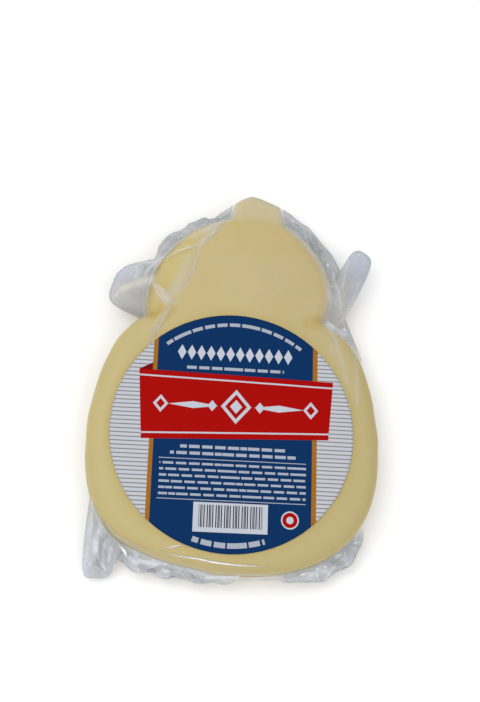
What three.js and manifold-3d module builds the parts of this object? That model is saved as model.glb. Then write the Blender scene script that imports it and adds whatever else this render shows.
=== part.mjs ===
// Caciocavallo: a flat pear-shaped slab of cheese, sealed in clear shrink film, with a round
// paper label on its front. It lies on its back with the label up.
// Millimetres, +Z up. The origin is on the flat base, under the middle of the label, and +Y
// runs from the label to the head of the pear.
import * as THREE from 'three';
import Module from 'manifold-3d';

const wasm = await Module();
wasm.setup();

// Slab of cheese in its tight film
const THICKNESS = 18.5;
const FRONT_EDGE_ROUND = 7.5;
const BACK_EDGE_ROUND = 5;
const KNOB_EDGE_ROUND = 4.4;
const EDGE_STEPS = 4;
const OUTLINE_STEPS = 168;

// Pear outline: body and head are ovals, seen from the middle of the body
const BODY = { x: 1.1, y: -3.2, halfWidth: 60.9, rise: 63.7, drop: 54.5 };
const BODY_SQUARENESS = { above: 2.47, below: 2.55 };
const HEAD = { x: 1.3, y: 60.8, halfLong: 40.8, halfShort: 36.5, leanDeg: 29 };
const NECK_ROUND = 1.6;
// Slight flats: right side, right of the head, left side and lower left
const FLATS = [
  { atDeg: 20.5, spreadDeg: 17, depth: 0.9 },
  { atDeg: 69, spreadDeg: 8, depth: 0.9 },
  { atDeg: 156, spreadDeg: 17, depth: 0.9 },
  { atDeg: 243, spreadDeg: 22, depth: 1.7 },
];

// Knob on the head, a gable with two slopes in millimetres a degree between two side walls
const KNOB = { tipDeg: 87.85, tipReach: 113.45, leftSlope: 1.43, rightSlope: 0.63, roundDeg: 1.2 };
const KNOB_RIGHT_WALL = { fromDeg: 78.2, toDeg: 80.8 };
const KNOB_LEFT_WALL = { fromDeg: 91.3, toDeg: 93 };

// Skirt of spare film round the slab, at about half its height
const SEAM_HEIGHT = 8.5;
const SEAM_THICKNESS = 2.6;
const RIM_THICKNESS = 0.9;
const RIM_LEAST = 0.7;
const ROOT_INSET = 4;
const FLOOR_CLEARANCE = 1.2;
const PLEAT_COUNT = 46;
const PLEAT_HEIGHT = 1;
const PLEAT_RUN = 9;
const RIPPLE_COUNT = 31;
const RIPPLE_REACH = 0.09;
const SKIRT_STEP_DEG = 1.8;

// Where the spare film stands out: direction, half spread and reach, with the rim's droop
const SKIRT_LOBES = [
  { atDeg: 71, spreadDeg: 11.5, reach: 4.1, droop: 0 },
  { atDeg: 106, spreadDeg: 10.5, reach: 4.9, droop: 0 },
  { atDeg: 226, spreadDeg: 23.5, reach: 5.8, droop: 2.5 },
  { atDeg: 243, spreadDeg: 22, reach: 1.7, droop: 0 },
  { atDeg: 255.5, spreadDeg: 18.5, reach: 3.2, droop: 2 },
  { atDeg: 274, spreadDeg: 10.5, reach: 1.8, droop: 1 },
  { atDeg: 288.5, spreadDeg: 8.5, reach: 2, droop: 1 },
  { atDeg: 311, spreadDeg: 21.5, reach: 6.9, droop: 2.5 },
];

// Notch of the film's edge above the left ear
const NOTCH = { atDeg: 114.6, spreadDeg: 2.6, depth: 2 };

// Film stretched straight between the body, the ears and the knob
const TAUT_RUNS = [
  { fromX: 56.2, fromY: 36.5, toX: 47.4, toY: 59 },
  { fromX: 18.8, fromY: 106.2, toX: 48.5, toY: 75.1 },
  { fromX: -1.4, fromY: 107.3, toX: -38.9, toY: 77.1 },
];

// Corners of the bag, each a tongue between two directions. Its tip is offset from the middle of
// its root, and the skew draws its first side further that way and its last side back.
const EARS = [
  { fromDeg: 50.7, toDeg: 60.75, tip: [9.7, 19.45, 2.5], skew: [3.9, 7.95, 0], bluntness: 3.75, steps: 22 },
  { fromDeg: 114.55, toDeg: 127.6, tip: [-15.85, 0.65, 1], skew: [0.6, -4.95, 0], bluntness: 3.8, steps: 22 },
  { fromDeg: 203.3, toDeg: 227, tip: [-1.9, -20.2, -4], skew: [-0.5, -12.7, 0], bluntness: 4.6, steps: 24 },
];

// Webs where the film leaves the front face early and bridges a hollow of the outline
const WEBS = [
  { atDeg: 119, spreadDeg: 22, inset: 1.5 },
  { atDeg: 52, spreadDeg: 14, inset: 1.5 },
  { atDeg: 76, spreadDeg: 7, inset: 1 },
];
const WEB_DROP = 0.5;

// Round label
const LABEL_DIAMETER = 101.6;
const LABEL_THICKNESS = 0.3;
const LABEL_GAP = 0.3;
const LABEL_SIDES = 128;

const TURN = 2 * Math.PI;
const radians = THREE.MathUtils.degToRad;
const lerp = THREE.MathUtils.lerp;

// Broad bump of height 1 round one direction, 0 beyond its spread, for an angle in radians.
function bumpAround(angle, atDeg, spreadDeg) {
  const turned = angle - radians(atDeg);
  const apart = Math.abs(Math.atan2(Math.sin(turned), Math.cos(turned)));
  const share = Math.min(apart / radians(spreadDeg), 1);
  return Math.cos(share * share * Math.PI / 2) ** 2;
}

// The larger of two lengths, rounded off where they are nearly equal.
function softMax(a, b, round) {
  const share = THREE.MathUtils.clamp(0.5 + (a - b) / (2 * round), 0, 1);
  return lerp(b, a, share) + round * share * (1 - share);
}

// Reach of the body, an oval with squared-off shoulders.
function bodyReach(angle) {
  const above = Math.sin(angle) > 0;
  const height = above ? BODY.rise : BODY.drop;
  const squareness = above ? BODY_SQUARENESS.above : BODY_SQUARENESS.below;
  const across = Math.abs(Math.cos(angle) / BODY.halfWidth) ** squareness;
  const along = Math.abs(Math.sin(angle) / height) ** squareness;
  return (across + along) ** (-1 / squareness);
}

// Reach from the middle of the body to the far side of an oval, 0 where the ray misses it.
function ovalReach(angle, oval) {
  const lean = radians(oval.leanDeg);
  const size = new THREE.Vector2(oval.halfLong, oval.halfShort);
  const middle = new THREE.Vector2();
  const start = new THREE.Vector2(BODY.x - oval.x, BODY.y - oval.y).rotateAround(middle, -lean).divide(size);
  const ray = new THREE.Vector2(Math.cos(angle - lean), Math.sin(angle - lean)).divide(size);
  const along = start.dot(ray);
  const room = along * along - ray.lengthSq() * (start.lengthSq() - 1);
  return room > 0 ? (Math.sqrt(room) - along) / ray.lengthSq() : 0;
}

// Reach of the head with its knob: two slopes rounded into one tip, cut off by the side walls.
function headReach(angle) {
  const head = ovalReach(angle, HEAD);
  const deg = THREE.MathUtils.euclideanModulo(THREE.MathUtils.radToDeg(angle), 360);
  const turned = deg - KNOB.tipDeg;
  const tilt = (KNOB.leftSlope - KNOB.rightSlope) / 2;
  const fall = (KNOB.leftSlope + KNOB.rightSlope) / 2;
  const gable = KNOB.tipReach - tilt * turned - fall * (Math.hypot(turned, KNOB.roundDeg) - KNOB.roundDeg);
  const right = THREE.MathUtils.smoothstep(deg, KNOB_RIGHT_WALL.fromDeg, KNOB_RIGHT_WALL.toDeg);
  const left = 1 - THREE.MathUtils.smoothstep(deg, KNOB_LEFT_WALL.fromDeg, KNOB_LEFT_WALL.toDeg);
  return head + Math.max(gable - head, 0) * right * left;
}

// Reach of the pear: body or head, less the flats.
function pearReach(angle) {
  let reach = softMax(bodyReach(angle), headReach(angle), NECK_ROUND);
  for (const flat of FLATS) {
    reach -= flat.depth * bumpAround(angle, flat.atDeg, flat.spreadDeg);
  }
  return reach;
}

// Reach to a straight run of film, 0 where the ray passes beside it.
function tautReach(angle, run) {
  const from = new THREE.Vector2(run.fromX - BODY.x, run.fromY - BODY.y);
  const to = new THREE.Vector2(run.toX - BODY.x, run.toY - BODY.y);
  const ray = new THREE.Vector2(Math.cos(angle), Math.sin(angle));
  const between = from.cross(ray) * to.cross(ray) < 0 && ray.dot(from) > 0;
  return between ? from.cross(to) / ray.cross(to.clone().sub(from)) : 0;
}

function pointAt(angle, reach) {
  return new THREE.Vector2(BODY.x + reach * Math.cos(angle), BODY.y + reach * Math.sin(angle));
}

// Point of the pear outline, moved in along the outline's normal, which a long chord smooths.
function outlinePoint(angle, inset) {
  const step = 0.035;
  const before = pointAt(angle - step, pearReach(angle - step));
  const after = pointAt(angle + step, pearReach(angle + step));
  const run = after.sub(before).normalize();
  const inward = new THREE.Vector2(-run.y, run.x);
  return pointAt(angle, pearReach(angle)).addScaledVector(inward, inset);
}

// Directions whose outline points lie at even steps along the outline.
function evenAngles(count) {
  const fine = 20 * count;
  const runs = [0];
  for (let i = 1; i <= fine; i += 1) {
    const from = TURN * (i - 1) / fine;
    const to = TURN * i / fine;
    runs.push(runs[i - 1] + pointAt(from, pearReach(from)).distanceTo(pointAt(to, pearReach(to))));
  }
  return Array.from({ length: count }, (_, i) => {
    const wanted = runs[fine] * i / count;
    return TURN * runs.findIndex((run) => run >= wanted) / fine;
  });
}

// Radius of the front edge, smaller round the knob.
function frontRound(angle) {
  return lerp(FRONT_EDGE_ROUND, KNOB_EDGE_ROUND, bumpAround(angle, 85.7, 15));
}

function ringAt(angles, insetOf, heightOf) {
  return angles.map((angle) => {
    const flat = outlinePoint(angle, insetOf(angle));
    return new THREE.Vector3(flat.x, flat.y, heightOf(angle));
  });
}

// Closed solid skinned over a stack of rings. The ends are fans to two middle points, or the
// last ring joins the first where there are none.
function skinned(rings, ends) {
  const count = rings[0].length;
  const positions = rings.flat();
  const index = [];
  const bands = ends ? rings.length - 1 : rings.length;
  for (let band = 0; band < bands; band += 1) {
    const low = band * count;
    const high = ((band + 1) % rings.length) * count;
    for (let i = 0; i < count; i += 1) {
      const next = (i + 1) % count;
      index.push(low + i, low + next, high + next, low + i, high + next, high + i);
    }
  }
  if (ends) {
    const lowMiddle = positions.push(ends[0]) - 1;
    const highMiddle = positions.push(ends[1]) - 1;
    const top = (rings.length - 1) * count;
    for (let i = 0; i < count; i += 1) {
      const next = (i + 1) % count;
      index.push(lowMiddle, next, i, highMiddle, top + i, top + next);
    }
  }
  const geometry = new THREE.BufferGeometry().setFromPoints(positions);
  geometry.setIndex(index);
  return geometry;
}

function toManifold(geometry) {
  return new wasm.Manifold(new wasm.Mesh({
    numProp: 3,
    vertProperties: new Float32Array(geometry.attributes.position.array),
    triVerts: new Uint32Array(geometry.index.array),
  }));
}

function toGeometry(solid) {
  const mesh = solid.getMesh();
  const geometry = new THREE.BufferGeometry();
  geometry.setAttribute('position', new THREE.BufferAttribute(new Float32Array(mesh.vertProperties), 3));
  geometry.setIndex(new THREE.BufferAttribute(new Uint32Array(mesh.triVerts), 1));
  geometry.computeVertexNormals();
  return geometry;
}

// The slab: a flat back, a rounded wall and a flat front.
function slab() {
  const angles = evenAngles(OUTLINE_STEPS);
  const rings = [];
  for (let step = 0; step <= EDGE_STEPS; step += 1) {
    const turn = Math.PI / 2 * step / EDGE_STEPS;
    const inset = BACK_EDGE_ROUND * (1 - Math.sin(turn));
    const height = BACK_EDGE_ROUND * (1 - Math.cos(turn));
    rings.push(ringAt(angles, () => inset, () => height));
  }
  for (let step = 0; step <= EDGE_STEPS; step += 1) {
    const turn = Math.PI / 2 * step / EDGE_STEPS;
    const insetOf = (angle) => frontRound(angle) * (1 - Math.cos(turn));
    const heightOf = (angle) => THICKNESS - frontRound(angle) * (1 - Math.sin(turn));
    rings.push(ringAt(angles, insetOf, heightOf));
  }
  const middle = (height) => new THREE.Vector3(BODY.x, BODY.y, height);
  return skinned(rings, [middle(0), middle(THICKNESS)]);
}

// Edge of the film between the ears: the pear outline or a straight run, whichever is further
// out, and the lobes' reach, slightly rippled.
function rimPoint(angle) {
  const base = Math.max(pearReach(angle), ...TAUT_RUNS.map((run) => tautReach(angle, run)));
  let reach = RIM_LEAST;
  let height = SEAM_HEIGHT;
  for (const lobe of SKIRT_LOBES) {
    const amount = bumpAround(angle, lobe.atDeg, lobe.spreadDeg);
    reach += lobe.reach * amount;
    height -= lobe.droop * amount;
  }
  const rippled = reach * (1 + RIPPLE_REACH * Math.sin(RIPPLE_COUNT * angle));
  const notch = NOTCH.depth * bumpAround(angle, NOTCH.atDeg, NOTCH.spreadDeg);
  const flat = pointAt(angle, base + rippled - notch);
  return new THREE.Vector3(flat.x, flat.y, height);
}

// Edge of one ear: half of a blunt oval, from its root's first point over its tip to the last.
function earPoint(ear, share) {
  const first = rimPoint(radians(ear.fromDeg));
  const last = rimPoint(radians(ear.toDeg));
  const turn = Math.PI * share;
  const along = Math.abs(Math.sin(turn)) ** (2 / ear.bluntness);
  const across = Math.sign(Math.cos(turn)) * Math.abs(Math.cos(turn)) ** (2 / ear.bluntness);
  const root = first.clone().lerp(last, 0.5 - 0.5 * across);
  root.addScaledVector(new THREE.Vector3(...ear.tip), along);
  return root.addScaledVector(new THREE.Vector3(...ear.skew), along * across);
}

// Stations round the bag: a direction on the slab and the film edge that belongs to it.
function filmStations() {
  const stations = [];
  EARS.forEach((ear, number) => {
    for (let i = 0; i <= ear.steps; i += 1) {
      const share = i / ear.steps;
      const angle = radians(lerp(ear.fromDeg, ear.toDeg, share));
      stations.push({ angle, rim: earPoint(ear, share) });
    }
    const nextDeg = number + 1 < EARS.length ? EARS[number + 1].fromDeg : EARS[0].fromDeg + 360;
    const count = Math.round((nextDeg - ear.toDeg) / SKIRT_STEP_DEG);
    for (let i = 1; i < count; i += 1) {
      const angle = radians(lerp(ear.toDeg, nextDeg, i / count));
      stations.push({ angle, rim: rimPoint(angle) });
    }
  });
  return stations;
}

// The skirt: a thin pleated ring from inside the slab's wall out to the film's edge.
function skirt() {
  const stations = filmStations();
  const rowOf = (share, side) => stations.map(({ angle, rim }) => {
    let web = 0;
    let inset = ROOT_INSET;
    for (const lobe of WEBS) {
      const amount = bumpAround(angle, lobe.atDeg, lobe.spreadDeg);
      web = Math.max(web, amount);
      inset += lobe.inset * amount;
    }
    const flat = outlinePoint(angle, side > 0 ? inset : ROOT_INSET);
    const webRise = THICKNESS - SEAM_HEIGHT - WEB_DROP;
    const rise = side > 0 ? lerp(SEAM_THICKNESS / 2, webRise, web) : -SEAM_THICKNESS / 2;
    const root = new THREE.Vector3(flat.x, flat.y, SEAM_HEIGHT + rise);
    const edge = rim.clone();
    edge.z += side * RIM_THICKNESS / 2;
    const free = THREE.MathUtils.clamp((root.distanceTo(edge) - 2 * ROOT_INSET) / PLEAT_RUN, 0, 1);
    const point = root.lerp(edge, share);
    const pleat = Math.sin(PLEAT_COUNT * angle + 2.2 * Math.sin(5 * angle));
    point.z += PLEAT_HEIGHT * pleat * free * share;
    point.z = Math.max(point.z, FLOOR_CLEARANCE + side * RIM_THICKNESS / 2);
    return point;
  });
  const shares = [0, 0.45, 0.75, 1];
  const under = shares.map((share) => rowOf(share, -1));
  const over = shares.map((share) => rowOf(share, 1)).reverse();
  return skinned([...under, ...over], null);
}

function sealedBag() {
  return toGeometry(toManifold(slab()).add(toManifold(skirt())));
}

// The label: a thin paper disc on the front face.
function labelDisc() {
  const radius = LABEL_DIAMETER / 2;
  const disc = new THREE.CylinderGeometry(radius, radius, LABEL_THICKNESS, LABEL_SIDES);
  disc.rotateX(Math.PI / 2);
  return disc;
}

const film = new THREE.MeshStandardMaterial({ color: 0xcbb988, roughness: 0.25, metalness: 0 });
const paper = new THREE.MeshStandardMaterial({ color: 0xc5cbd7, roughness: 0.45, metalness: 0 });

const bag = new THREE.Mesh(sealedBag(), film);
bag.name = 'sealed_bag';

const label = new THREE.Mesh(labelDisc(), paper);
label.name = 'label';
label.position.z = THICKNESS + LABEL_GAP + LABEL_THICKNESS / 2;

const caciocavallo = new THREE.Group();
caciocavallo.name = 'caciocavallo';
caciocavallo.add(bag, label);

export default caciocavallo;
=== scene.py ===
import math
from functools import partial

import bpy
import numpy as np
from mathutils import Matrix, Vector


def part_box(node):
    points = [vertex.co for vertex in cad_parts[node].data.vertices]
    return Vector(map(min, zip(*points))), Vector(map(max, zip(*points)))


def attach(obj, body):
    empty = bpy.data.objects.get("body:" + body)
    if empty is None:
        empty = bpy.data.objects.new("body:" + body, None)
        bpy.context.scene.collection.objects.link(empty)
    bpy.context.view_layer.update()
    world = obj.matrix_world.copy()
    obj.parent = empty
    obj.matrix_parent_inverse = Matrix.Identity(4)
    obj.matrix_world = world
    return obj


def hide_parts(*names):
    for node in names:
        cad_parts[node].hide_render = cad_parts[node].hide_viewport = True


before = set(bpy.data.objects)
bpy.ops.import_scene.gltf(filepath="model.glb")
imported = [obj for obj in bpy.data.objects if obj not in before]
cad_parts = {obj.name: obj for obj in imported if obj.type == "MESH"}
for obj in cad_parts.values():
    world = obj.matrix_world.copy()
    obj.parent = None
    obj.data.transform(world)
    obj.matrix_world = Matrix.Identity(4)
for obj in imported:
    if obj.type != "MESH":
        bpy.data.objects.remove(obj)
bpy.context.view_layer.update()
mm = 0.001
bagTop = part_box("sealed_bag")[1].z / mm
labelLow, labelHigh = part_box("label")
labelRadius = (labelHigh.x - labelLow.x) / 2 / mm
print("frame loaded, bag", round(bagTop, 2), "mm thick, label radius", round(labelRadius, 2), "mm")


# tables of settings

def rows(keys, *values):
    # one dictionary for each row, all with the same keys
    return [dict(zip(keys.split(), row)) for row in values]


def strokes(*values):
    # marks along paths: width, amount, then the points that the path runs through
    return [{"width": width, "amount": amount, "path": path} for width, amount, *path in values]


# helpers for the surfaces, all lengths in millimetres

def softMax(a, b, rounding):
    # the larger of two lengths, rounded off where they are nearly equal
    share = np.clip(0.5 + (a - b) / (2 * rounding), 0, 1)
    return b + (a - b) * share + rounding * share * (1 - share)


def ramp(value, low, high):
    # smooth step from 0 at low to 1 at high
    share = np.clip((value - low) / (high - low), 0, 1)
    return share * share * (3 - 2 * share)


def steps(count):
    # column of even shares, from just above 0 up to 1
    return np.linspace(0, 1, count + 1)[1:, None]


def bumpAround(angle, place):
    # broad bump of height 1 round one direction, 0 beyond its spread
    turned = angle - math.radians(place["atDeg"])
    apart = np.abs(np.arctan2(np.sin(turned), np.cos(turned)))
    share = np.minimum(apart / math.radians(place["spreadDeg"]), 1)
    return np.cos(share * share * math.pi / 2) ** 2


def bumps(angle, places, key):
    # the bump of each row of a table, times that row's own value
    return np.array([place[key] * bumpAround(angle, place) for place in places])


def sineWave(turns):
    return np.sin(2 * math.pi * turns)


def triangleWave(turns):
    # straight flanks between -1 and 1, one cycle a turn
    return 4 * np.abs(turns - np.floor(turns + 0.5)) - 1


def crossedWaves(x, y, wave, seed, count, lengths):
    # mean of waves running in random directions, with lengths between the two given
    draw = np.random.default_rng(seed)
    total = np.zeros(np.broadcast(x, y).shape)
    for number in range(count):
        heading = draw.uniform(0, 2 * math.pi)
        length = draw.uniform(*lengths)
        run = (x * math.cos(heading) + y * math.sin(heading)) / length
        total = total + wave(run + draw.uniform(0, 1)) / count
    return total


def lineFrame(x, y, start, aim):
    # distance along a line from its start, and distance to the right of it
    length = math.hypot(*aim)
    dx, dy = x - start[0], y - start[1]
    return (dx * aim[0] + dy * aim[1]) / length, (dx * aim[1] - dy * aim[0]) / length


def strokeAt(x, y, stroke):
    # bell across the straight stretches of a path: amount * exp(-(distance / width)^2)
    bell = 0 * x
    for (ax, ay), (bx, by) in zip(stroke["path"][:-1], stroke["path"][1:]):
        runX, runY = bx - ax, by - ay
        share = np.clip(((x - ax) * runX + (y - ay) * runY) / (runX ** 2 + runY ** 2), 0, 1)
        away = (x - ax - share * runX) ** 2 + (y - ay - share * runY) ** 2
        bell = np.maximum(bell, np.exp(-away / stroke["width"] ** 2))
    return stroke["amount"] * bell


def strokesAt(x, y, table):
    return np.array([strokeAt(x, y, stroke) for stroke in table])


# pear outline: two ovals and a gabled knob seen from the middle of the body, as in the solids

pear = {
    "body": {"middle": (1.1, -3.2), "halfWidth": 61.4, "rise": 64.2, "drop": 55.0,
             "above": 2.47, "below": 2.55},
    "head": {"middle": (1.3, 60.8), "half": (41.3, 37.0), "leanDeg": 29},
    "knob": {"tipDeg": 87.85, "tipReach": 113.9, "leftSlope": 1.43, "rightSlope": 0.63, "roundDeg": 1.2,
             "rightWall": (78.2, 80.8), "leftWall": (91.3, 93.0)},
    "neckRound": 1.6,
    # slight flats on the right, on the head, on the left and at the lower left
    "flats": rows("atDeg spreadDeg depth", (20.5, 17, 0.9), (69, 8, 0.9), (156, 17, 0.9), (243, 22, 1.7)),
    "chordTurn": 0.035, "fineSteps": 6000,
}
middleX, middleY = pear["body"]["middle"]


def bodyReach(angle):
    # squared oval: (|cos|/halfWidth)^n + (|sin|/height)^n = 1/reach^n
    body = pear["body"]
    height = np.where(np.sin(angle) > 0, body["rise"], body["drop"])
    squareness = np.where(np.sin(angle) > 0, body["above"], body["below"])
    across = np.abs(np.cos(angle) / body["halfWidth"]) ** squareness
    along = np.abs(np.sin(angle) / height) ** squareness
    return (across + along) ** (-1 / squareness)


def ovalReach(angle, oval):
    # far crossing of a ray from the body's middle with a leaning oval, 0 where it misses
    lean = math.radians(oval["leanDeg"])
    halfAcross, halfAlong = oval["half"]
    dx, dy = middleX - oval["middle"][0], middleY - oval["middle"][1]
    startX = (dx * math.cos(lean) + dy * math.sin(lean)) / halfAcross
    startY = (dy * math.cos(lean) - dx * math.sin(lean)) / halfAlong
    rayX, rayY = np.cos(angle - lean) / halfAcross, np.sin(angle - lean) / halfAlong
    size = rayX ** 2 + rayY ** 2
    along = startX * rayX + startY * rayY
    room = along ** 2 - size * (startX ** 2 + startY ** 2 - 1)
    return np.where(room > 0, (np.sqrt(np.maximum(room, 0)) - along) / size, 0)


def headReach(angle):
    # head with its knob: two slopes rounded into one tip, cut off by the side walls
    knob, head = pear["knob"], ovalReach(angle, pear["head"])
    deg = np.degrees(angle) % 360
    turned = deg - knob["tipDeg"]
    tilt = (knob["leftSlope"] - knob["rightSlope"]) / 2
    fall = (knob["leftSlope"] + knob["rightSlope"]) / 2
    rounded = np.hypot(turned, knob["roundDeg"]) - knob["roundDeg"]
    gable = knob["tipReach"] - tilt * turned - fall * rounded
    walls = ramp(deg, *knob["rightWall"]) * (1 - ramp(deg, *knob["leftWall"]))
    return head + np.maximum(gable - head, 0) * walls


def pearReach(angle):
    # head or body, less the flats
    reach = softMax(bodyReach(angle), headReach(angle), pear["neckRound"])
    return reach - bumps(angle, pear["flats"], "depth").sum(axis=0)


def outward(angle):
    # unit normal of the outline, from a chord long enough to round off its corners
    first, last = angle - pear["chordTurn"], angle + pear["chordTurn"]
    before, after = pearReach(first), pearReach(last)
    runX = after * np.cos(last) - before * np.cos(first)
    runY = after * np.sin(last) - before * np.sin(first)
    length = np.hypot(runX, runY)
    return runY / length, -runX / length


def pearPoint(angle, inset):
    # outline point moved in along its own normal
    normalX, normalY = outward(angle)
    reach = pearReach(angle)
    x = middleX + reach * np.cos(angle) - inset * normalX
    y = middleY + reach * np.sin(angle) - inset * normalY
    return x, y


def evenAngles(count):
    # directions whose outline points lie at even steps along the outline
    fine = np.linspace(0, 2 * math.pi, pear["fineSteps"] + 1)
    x, y = pearPoint(fine, 0)
    run = np.concatenate([[0], np.cumsum(np.hypot(np.diff(x), np.diff(y)))])
    return np.interp(np.arange(count) * run[-1] / count, run, fine)


def insetAt(x, y):
    # how far a point lies inside the outline, from its radial distance and the outline's slope
    angle = np.arctan2(y - middleY, x - middleX)
    normalX, normalY = outward(angle)
    facing = normalX * np.cos(angle) + normalY * np.sin(angle)
    return (pearReach(angle) - np.hypot(x - middleX, y - middleY)) * facing


# skin of the slab, shared by the cheese and the tight film

slab = {
    "filmGap": 0.15,               # between cheese and tight film
    "filmHollow": 0.3,             # share of the hollows that the film follows
    "edgeWidth": 8.0, "edgeFall": 5.6, "backRound": 5.0,
    "knobEdge": 4.4, "knobPlace": {"atDeg": 85.7, "spreadDeg": 15},
    "knobDrop": 2.2, "knobSlope": (92.0, 110.0),
    "crown": 0.5, "crownReach": 60.0,
    "neckCorners": ((39.2, 52.4), (-38.0, 51.5)), "neckAim": (0.0, 42.0), "neckDepth": 1.8,
    "neckWidth": 2.2, "neckWiden": 0.16, "neckFade": (-4.0, 13.0),
    "bevelFrom": (-4.6, 96.1), "bevelTo": (-37.3, 36.0), "bevelSlope": 0.2,
    "bevelStart": (40.0, 60.0), "bevelEnd": (84.0, 97.0),
    "lumpHeight": 0.2, "lumpLevel": 0.3, "lumpWaves": (11, 7, (16, 44)),     # seed, count and lengths
    "raySpread": 0.85, "leastTurn": 0.0004,
}


def neckHollow(x, y, corner):
    # valley running in from a corner of the neck: a bell across it, fading out along it
    along, across = lineFrame(x, y, corner, np.subtract(slab["neckAim"], corner))
    width = slab["neckWidth"] + slab["neckWiden"] * np.maximum(along, 0)
    return np.exp(-(across / width) ** 2) * (1 - ramp(along, *slab["neckFade"]))


def bevelledSide(x, y):
    # distance outside the slanting line down the left of the head
    across = lineFrame(x, y, slab["bevelFrom"], np.subtract(slab["bevelTo"], slab["bevelFrom"]))[1]
    return np.maximum(across, 0) * ramp(y, *slab["bevelStart"]) * (1 - ramp(y, *slab["bevelEnd"]))


def frontHeight(x, y, hollow):
    # crowned face, less the knob's slope, the neck's hollows and the bevel, with soft lumps
    height = bagTop - slab["filmGap"] - slab["crown"] * (x ** 2 + y ** 2) / slab["crownReach"] ** 2
    height = height - slab["knobDrop"] * ramp(y, *slab["knobSlope"])
    for corner in slab["neckCorners"]:
        height = height - hollow * slab["neckDepth"] * neckHollow(x, y, corner)
    height = height - hollow * slab["bevelSlope"] * bevelledSide(x, y)
    lumps = crossedWaves(x, y, sineWave, *slab["lumpWaves"]) - slab["lumpLevel"]
    return height + slab["lumpHeight"] * lumps


def edgeWidth(angle):
    # width of the rounded front edge, narrower round the knob
    return slab["edgeWidth"] + (slab["knobEdge"] - slab["edgeWidth"]) * bumpAround(angle, slab["knobPlace"])


def edgeFall(inset, width):
    # quarter of an oval: how far the front edge falls away at an inset
    share = np.clip(1 - inset / width, 0, 1)
    return slab["edgeFall"] * (1 - np.sqrt(1 - share ** 2))


def faceGrid(startX, startY, count):
    # rays from the body's middle to where the rounded edge starts, none running back on the last
    turn = np.unwrap(np.arctan2(startY - middleY, startX - middleX))
    least = slab["leastTurn"] * np.arange(len(turn))
    turn = np.maximum.accumulate(turn - least) + least
    reach = np.hypot(startX - middleX, startY - middleY) * steps(count) ** slab["raySpread"]
    return middleX + reach * np.cos(turn), middleY + reach * np.sin(turn)


def frontRows(angle, depth, hollow, look):
    # face out to where its edge rounds off, then that edge down to the wall, at a depth under the film
    width, lift = edgeWidth(angle), slab["filmGap"] - depth
    face = faceGrid(*pearPoint(angle, depth + width), look["faceRows"])
    inset = width * (1 - np.sin(math.pi / 2 * steps(look["edgeRows"])))
    edge = pearPoint(angle, depth + inset)
    edgeZ = frontHeight(*edge, hollow) + lift - edgeFall(inset, width)
    return (*face, frontHeight(*face, hollow) + lift), (*edge, edgeZ), inset


def backRows(angle, depth, look):
    # quarter of a circle round the back edge, then the flat back in towards the middle
    turn = math.pi / 2 * np.linspace(0, 1, look["backRows"] + 1)[:, None]
    x, y = pearPoint(angle, depth + slab["backRound"] * (1 - np.cos(turn)))
    z = depth + slab["backRound"] * (1 - np.sin(turn)) + 0 * angle
    scale = np.linspace(1, 0, look["baseRows"] + 1)[1:-1, None]
    baseX, baseY = middleX + (x[-1] - middleX) * scale, middleY + (y[-1] - middleY) * scale
    return np.vstack([x, baseX]), np.vstack([y, baseY]), np.vstack([z, depth + 0 * baseX])


def filmHeight(x, y):
    # tight film over the front, nearly bridging the hollows
    width = edgeWidth(np.arctan2(y - middleY, x - middleX))
    return frontHeight(x, y, slab["filmHollow"]) + slab["filmGap"] - edgeFall(insetAt(x, y), width)


# meshes from closed grids of points

def closedGrid(x, y, z, poles, values):
    # rows from a first pole to a last one, columns round them, and the fans that close both ends
    points = np.vstack([np.stack([x, y, z], axis=-1).reshape(-1, 3), poles])
    index = np.arange(x.size).reshape(x.shape)
    after = np.roll(index, -1, axis=1)
    quads = np.stack([index[:-1], index[1:], after[1:], after[:-1]], axis=-1).reshape(-1, 4)
    fanFirst = np.stack([np.full_like(index[0], x.size), index[0], after[0]], axis=-1)
    fanLast = np.stack([np.full_like(index[0], x.size + 1), after[-1], index[-1]], axis=-1)
    flats = {}
    for key, value in values.items():
        grid = np.broadcast_to(value, x.shape)
        flats[key] = np.concatenate([grid.reshape(-1), [grid[0].mean(), grid[-1].mean()]])
    return {"points": points, "quads": quads, "fans": np.vstack([fanFirst, fanLast]), "values": flats}


def addObject(name, data):
    thing = bpy.data.objects.new(name, data)
    bpy.context.scene.collection.objects.link(thing)
    return thing


def addPiece(name, grids, material):
    # one mesh from closed grids, riding the part's only body
    starts = np.concatenate([[0], np.cumsum([len(grid["points"]) for grid in grids])])
    points = np.vstack([grid["points"] for grid in grids])
    quads = np.vstack([grid["quads"] + start for grid, start in zip(grids, starts)])
    fans = np.vstack([grid["fans"] + start for grid, start in zip(grids, starts)])
    loops = np.concatenate([quads.reshape(-1), fans.reshape(-1)])
    sizes = np.concatenate([np.full(len(quads), 4), np.full(len(fans), 3)])
    firsts = np.concatenate([[0], np.cumsum(sizes)[:-1]])
    mesh = bpy.data.meshes.new(name)
    mesh.vertices.add(len(points))
    mesh.vertices.foreach_set("co", (points * mm).astype(np.float32).reshape(-1))
    mesh.loops.add(len(loops))
    mesh.loops.foreach_set("vertex_index", loops.astype(np.int32))
    mesh.polygons.add(len(sizes))
    mesh.polygons.foreach_set("loop_start", firsts.astype(np.int32))
    mesh.polygons.foreach_set("use_smooth", np.ones(len(sizes), dtype=bool))
    for key in grids[0]["values"]:
        value = np.concatenate([grid["values"][key] for grid in grids]).astype(np.float32)
        mesh.attributes.new(key, "FLOAT", "POINT").data.foreach_set("value", value)
    mesh.update(calc_edges=True)
    mesh.validate()
    mesh.materials.append(material)
    piece = addObject(name, mesh)
    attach(piece, "root")
    print(name, len(mesh.vertices), "points")
    return piece


# node helpers for the materials

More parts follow.
